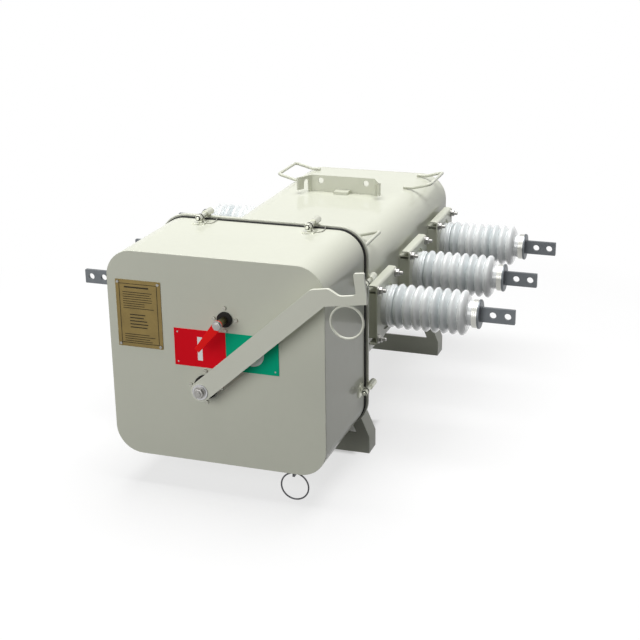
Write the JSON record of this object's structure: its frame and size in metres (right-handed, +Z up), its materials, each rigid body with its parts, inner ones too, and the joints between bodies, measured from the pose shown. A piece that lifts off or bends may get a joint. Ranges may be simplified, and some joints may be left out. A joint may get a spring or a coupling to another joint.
{
  "type": "gas insulated breaker",
  "caption": "Outdoor pole-type gas insulated breaker: mechanism housing, long gas tank on feet, porcelain bushings with flat terminals, hooked operating lever and position pointer.",
  "frame": {"origin": "on the floor under the middle of the whole object", "axes": "+Z up, +X across to the right bushings seen from the front, +Y from the front plate to the tank's rear"},
  "size_m": [1.0828, 1.19, 0.5538],
  "materials": {
    "paint": "glossy grey-green enamel",
    "rubber": "black seal",
    "porcelain": "white glaze",
    "tinned_metal": "dull tinned",
    "zinc": "zinc plated",
    "brass": "etched plate",
    "red": "red enamel",
    "green": "green enamel",
    "black": "black"
  },
  "bodies": {
    "frame": {"mechanism_housing": "paint", "front_plate": "paint", "seam_gasket": "rubber", "tank_flange": "paint", "tank_body": "paint", "tank_rear_cover": "paint", "right_bushing_seats": "paint", "left_bushing_seats": "paint", "clamp_plate_right_front": "paint", "insulator_right_front": "porcelain", "terminal_right_front": "tinned_metal", "clamp_plate_right_middle": "paint", "insulator_right_middle": "porcelain", "terminal_right_middle": "tinned_metal", "clamp_plate_right_rear": "paint", "insulator_right_rear": "porcelain", "terminal_right_rear": "tinned_metal", "clamp_plate_left_front": "paint", "insulator_left_front": "porcelain", "terminal_left_front": "tinned_metal", "clamp_plate_left_middle": "paint", "insulator_left_middle": "porcelain", "terminal_left_middle": "tinned_metal", "clamp_plate_left_rear": "paint", "insulator_left_rear": "porcelain", "terminal_left_rear": "tinned_metal", "front_foot": "paint", "rear_foot": "paint", "lifting_handle_front_right": "paint", "lifting_handle_front_left": "paint", "lifting_handle_rear_right": "paint", "lifting_handle_rear_left": "paint", "hoisting_bracket": "paint", "cover_clamps_top": "zinc", "cover_clamps_right": "zinc", "cover_clamps_left": "zinc", "nameplate": "brass", "closed_plate": "red", "open_plate": "green", "pointer_collar": "black", "lever_collar": "black", "trip_lug": "paint"},
    "lever": {"operating_lever": "paint", "lever_bolt": "zinc"},
    "pointer": {"position_pointer": "red"},
    "trip_ring": {"trip_ring": "zinc"}
  },
  "joints": [
    {"name": "lever_swing", "type": "hinge", "parent": "frame", "child": "lever", "pos_m": [-0.0225, -0.576, 0.2498], "axis": [0, 1, 0], "range_deg": [0, 60]},
    {"name": "pointer_turn", "type": "hinge", "parent": "frame", "child": "pointer", "pos_m": [0.025, -0.5865, 0.4035], "axis": [0, -1, 0], "range_deg": [0, 78]},
    {"name": "trip_ring_swing", "type": "hinge", "parent": "frame", "child": "trip_ring", "pos_m": [0.163, -0.527, 0.06655], "axis": [1, 0, 0], "range_deg": [-60, 60]}
  ]
}
